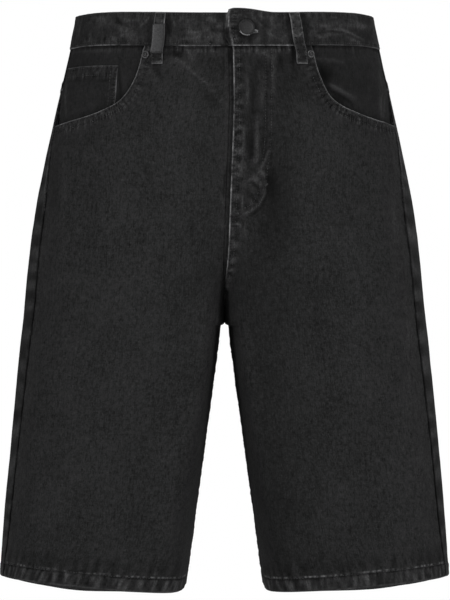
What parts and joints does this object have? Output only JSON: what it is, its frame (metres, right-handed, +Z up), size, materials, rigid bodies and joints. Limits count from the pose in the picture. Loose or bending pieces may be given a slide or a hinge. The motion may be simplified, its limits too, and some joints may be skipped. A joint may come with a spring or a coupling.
{
  "type": "baggy knee-length denim shorts",
  "caption": "Baggy knee-length five-pocket shorts in washed black denim, worn shape, hollow, with belt loops and shank button.",
  "frame": {"origin": "centre of the waist opening, level with the top edge of the waistband's front, where the wearer's waist holds it", "axes": "+Z up along the body, -Y the front, +X the wearer's left"},
  "size_m": [0.4936, 0.2763, 0.6327],
  "materials": {
    "black_denim": "washed cotton twill, matt",
    "dark_metal": "dark brushed",
    "zip_tape": "woven tape, matt"
  },
  "bodies": {
    "root": {"back_left": "black_denim", "back_pocket_left": "black_denim", "back_pocket_right": "black_denim", "back_right": "black_denim", "belt_loop_back": "black_denim", "belt_loop_front_left": "black_denim", "belt_loop_front_right": "black_denim", "belt_loop_side_left": "black_denim", "belt_loop_side_right": "black_denim", "button": "dark_metal", "coin_pocket": "black_denim", "fly_zip": "zip_tape", "front_left": "black_denim", "front_right": "black_denim", "loop_plate": "dark_metal", "pocket_facing_left": "black_denim", "pocket_facing_right": "black_denim", "rivet_left": "dark_metal", "rivet_right": "dark_metal", "waistband": "black_denim", "yoke_left": "black_denim", "yoke_right": "black_denim"}
  },
  "joints": []
}
